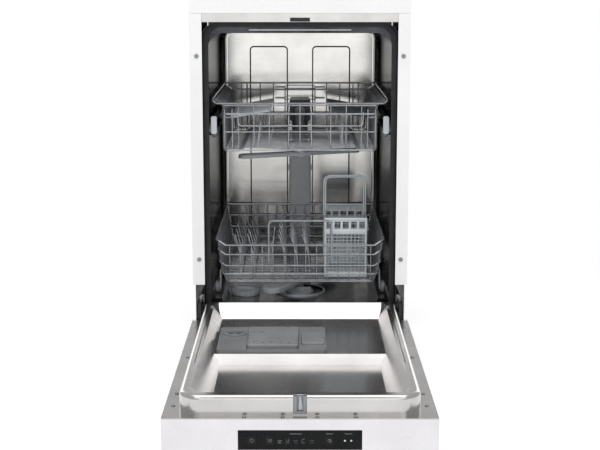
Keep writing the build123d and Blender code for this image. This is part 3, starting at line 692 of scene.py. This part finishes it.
def glyphWires(x, z, y, kind):  # line glyphs: ring, rows, dish, cup, sun, drop, half
    g = fascia["glyph"]
    turns = [k * math.pi / 8 for k in range(16)]
    ring = [(x + g * 0.8 * math.cos(t), y, z + g * 0.8 * math.sin(t)) for t in turns]
    half = [p for p in ring if p[2] <= z + 0.01]
    dash = [(x - g * 0.8, y, z - g), (x + g * 0.8, y, z - g)]
    if kind == "ring":
        return [(ring, True), ([(x, y, z + g * 0.3), (x, y, z + g * 1.25)], False)]
    if kind == "rows":
        spans = [(-0.7, 1)] * 3 + [(-1.2, -1.05)] * 3
        rows = [z + k * g * 0.5 for k in (-1, 0, 1)] * 2
        return [([(x + a * g, y, row), (x + b * g, y, row)], False) for (a, b), row in zip(spans, rows)]
    if kind == "dish":
        return [(half, False), ([(x - g, y, z + 0.2), (x + g, y, z + 0.2)], False), (dash, False)]
    if kind == "cup":
        return [([(x - g * 0.7, y, z + g), (x - g * 0.5, y, z - g * 0.4), (x + g * 0.5, y, z - g * 0.4),
                  (x + g * 0.7, y, z + g)], False), (dash, False)]
    if kind == "line":
        return [([(x - g, y, z), (x + g, y, z)], False), (dash, False)]
    if kind == "arc":
        return [(ring[2:12], False), (dash, False)]
    return [(ring, True), ([(x, y, z - g * 0.8), (x, y, z + g * 0.8)], False),
            ([(x + g * 0.4, y, z - g * 0.6), (x + g * 0.4, y, z + g * 0.6)], False)]


def printGlyphs(name, body, glyphs, front):  # raised screen print, less than a tenth of a millimetre proud
    y = front + fascia["stroke"] - fascia["proud"]
    wires = [(points, fascia["stroke"], 0.2, closed)
             for x, kind in glyphs for points, closed in glyphWires(x, fascia["level"], y, kind)]
    return wires, name, body


def frontOf(node):  # the front face of a node, in drawing millimetres behind the flange plane
    return (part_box(node)[0][1] - frontY) / mm


def makeFasciaPrint():
    groups = [("powerGlyph", "power_body", [(-77.7, "ring")], frontOf("power_button")),
              ("programmeGlyph", "programme_body", [(-49, "rows")], frontOf("programme_button")),
              ("halfLoadGlyph", "half_load_body", [(47.5, "half")], frontOf("half_load_button"))]
    face = frontOf("control_fascia")
    kinds = ("dish", "cup", "line", "arc", "line")
    groups.append(("programmeRow", "door_body", list(zip(fascia["iconX"], kinds)), face))
    for name, body, glyphs, front in groups:
        wires, name, body = printGlyphs(name, body, glyphs, front)
        if name == "programmeRow":
            y = front + fascia["stroke"] - fascia["proud"]
            wires.append(([(-37, y, 126.6), (24, y, 126.6)], 0.22, 0.1, False))
            for x0, x1 in ((-17, 3), (42, 53), (72, 84)):
                wires.append(([(x0, y, 129.4), (x1, y, 129.4)], 0.4, 0.1, False))
        finishPiece(bendWires(name, wires, 6), iconPrint, body, "white_plastic")


def makeIndicators():  # two oval lamp windows
    face = frontOf("control_fascia")
    parts = [addRound("window", 1.5, (x, face - 0.1, fascia["level"]), (x, face + 1, fascia["level"]), 24)
             for x in (72.3, 82.6)]
    finishPiece(joinAll("lampWindows", parts), iconPrint, "door_body", "white_plastic")


makeFasciaPrint()
makeIndicators()
print("control print")

dispenser = {
    "firstDot": 13, "dotPitch": 16.8, "dotRadius": 2.5, "dotsBehind": 19, "dotDepth": 1.2, "capFace": 167,
}


def makeLidDimpleShade():  # black discs on the floors of five drain dimples near the lid's front edge: painted shade in the dimples
    low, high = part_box("detergent_lid")
    y = (low[1] - frontY) / mm + dispenser["dotsBehind"]
    x0, floorAt = low[0] / mm + dispenser["firstDot"], high[2] / mm - dispenser["dotDepth"]
    parts = []
    for i in range(5):
        x = x0 + i * dispenser["dotPitch"]
        ends = (x, y, floorAt - 0.2), (x, y, floorAt + 0.4)
        parts.append(addRound("dot", dispenser["dotRadius"], *ends, 24))
    finishPiece(joinAll("lidDimpleShade", parts), blackPp, "lid_body", "black_plastic")


def makeLidRim():  # the raised bead round the lid and the thumb rib on the latch
    low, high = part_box("detergent_lid")
    x0, x1 = low[0] / mm + 2, high[0] / mm - 2
    y0, y1 = (low[1] - frontY) / mm + 8, (high[1] - frontY) / mm - 2
    z = high[2] / mm
    path = [(x0, y0, z), (x1, y0, z), (x1, y1, z), (x0, y1, z)]
    finishPiece(bendWires("lidBead", [(path, 0.7, 3, True)]), lidGrey, "lid_body", "grey_plastic")
    low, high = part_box("dispenser_latch")
    x0, x1, z = low[0] / mm + 2, high[0] / mm - 2, high[2] / mm
    y0 = (low[1] - frontY) / mm
    ribs = [([(x0, y0 + d, z), (x1, y0 + d, z)], 0.6, 1, False) for d in (4, 7, 10)]
    finishPiece(bendWires("latchRibs", ribs), lidGrey, "latch_body", "grey_plastic")


def makeCapHollowShade():  # two flattened black discs at the cap's face in place of the finger hollows either side of the rinse aid cap's web: painted shade of the hollows
    low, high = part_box("rinse_aid_cap")
    x, y = (low[0] + high[0]) / 2 / mm, ((low[1] + high[1]) / 2 - frontY) / mm
    z = dispenser["capFace"]
    parts = []
    for side in (-1, 1):
        grip = addRound("hollow", 6.2, (x + side * 7.6, y, z - 0.5), (x + side * 7.6, y, z + 0.06), 28)
        for vertex in grip.data.vertices:  # flattened circles
            vertex.co.y = place(0, y, 0).y + (vertex.co.y - place(0, y, 0).y) * 1.5
        parts.append(grip)
    finishPiece(joinAll("capFingerHollowShade", parts), blackPp, "rinse_cap_body", "black_plastic")


makeLidDimpleShade()
makeLidRim()
makeCapHollowShade()
print("dispenser details")


def makeCatchPlate():  # the sprung wedge inside the door's latch slot
    low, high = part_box("latch_catch")
    x, y0 = 0, (low[1] - frontY) / mm
    z0, z1 = low[2] / mm + 5, high[2] / mm - 2
    clearSelection()
    bpy.ops.mesh.primitive_cone_add(vertices=3, radius1=5 * mm, radius2=1.2 * mm, depth=(z1 - z0) * mm,
                                    location=place(x, y0 + 5.2, (z0 + z1) / 2))
    wedge = bpy.context.object
    wedge.rotation_euler = (0, 0, math.radians(30))
    settle(wedge, "catchWedge")
    slotFloor = place(x, y0 + 6.8, 0).y
    for vertex in wedge.data.vertices:  # a low ramp on the slot's floor, behind the hook's path
        vertex.co.y = slotFloor + (vertex.co.y - slotFloor) * 0.16
    finishPiece(wedge, paleGrey, "door_body", "grey_plastic")


def makeTubDetails():  # a pale milky strip along the ceiling step's stamped bead, its colour a painted highlight, and the front bar's face
    lens = addBox("ceilingBeadHighlight", (-105, 39, 750.2), (105, 40.1, 752.8), 0.5, 3)
    finishPiece(lens, milkyPp, "cabinet", "clear_plastic")
    skin = addBox("crossbarFace", (-198.6, 0.03, 768.3), (198.6, 0.18, 785.7), 0.05)
    finishPiece(skin, barSteel, "cabinet", "stainless")


makeCatchPlate()
makeTubDetails()
print("small fittings")


def makeStage():
    clearSelection()
    bpy.ops.mesh.primitive_plane_add(size=3, location=(0, -0.4, -0.0005))
    floor = bpy.context.object
    floor.name = "floor"
    material, tree, shader, coords = startMaterial("paleFloor", "#fbfbfb", 0.8, Emission_Color=(1, 1, 1, 1),
                                                   Emission_Strength=0.2)
    tree.links.new(mixColours(tree, grain(tree, coords, 400, 2.0), "#f9f9f9", "#fdfdfd"),
                   shader.inputs["Base Color"])
    floor.data.materials.append(material)
    world = bpy.data.worlds.new("studio")
    bpy.context.scene.world = world
    world.use_nodes = True
    background = world.node_tree.nodes["Background"]
    background.inputs["Color"].default_value = (1, 1, 1, 1)
    rays = world.node_tree.nodes.new("ShaderNodeLightPath")
    level = addNode(world.node_tree, "ShaderNodeMapRange", {
        "Value": rays.outputs["Is Camera Ray"], "To Min": studio["ambient"], "To Max": studio["backdrop"]})
    world.node_tree.links.new(level.outputs["Result"], background.inputs["Strength"])


studio = {"ambient": 0.56, "backdrop": 1.0}
lamps = [  # name, place, aimed at, size, power
    ("keyLamp", (-1.2, -3.4, 2.3), (0, 0, 0.45), (1.6, 1.6), 13),
    ("fillLamp", (1.3, -3.4, 1.9), (0, 0, 0.4), (1.6, 1.6), 11),
    ("frontCard", (0, -3.6, 0.55), (0, 0.3, 0.5), (1.5, 1.3), 6.5),
    ("topLamp", (0, -0.8, 3.2), (0, -0.5, 0), (3.0, 2.6), 44),
    ("leftBackCard", (-1.4, 2.4, 0.9), (-0.2, 0, 0.3), (1.3, 1.6), 8),
    ("rightBackCard", (1.4, 2.4, 0.9), (0.2, 0, 0.3), (1.3, 1.6), 8),
]


def makeLamps():
    for name, spot, aim, size, power in lamps:
        clearSelection()
        bpy.ops.object.light_add(type="AREA", location=spot)
        lamp = bpy.context.object
        lamp.name = name
        lamp.data.shape = "RECTANGLE"
        lamp.data.size, lamp.data.size_y = size
        lamp.data.energy = power
        lamp.rotation_euler = (Vector(aim) - Vector(spot)).to_track_quat("-Z", "Y").to_euler()


cameraSpec = {"distance": 2620, "height": 831.6, "pitch": 10.37, "lens": 77.0}


def makeCamera():
    clearSelection()
    bpy.ops.object.camera_add(location=place(0, -cameraSpec["distance"], cameraSpec["height"]))
    camera = bpy.context.object
    camera.rotation_euler = (math.radians(90 - cameraSpec["pitch"]), 0, 0)
    camera.data.lens = cameraSpec["lens"]
    camera.data.sensor_width = 36
    camera.data.clip_end = 50
    bpy.context.scene.camera = camera
    bpy.context.scene.view_settings.view_transform = "Standard"


makeStage()
makeLamps()
makeCamera()
print("stage, lamps and camera")
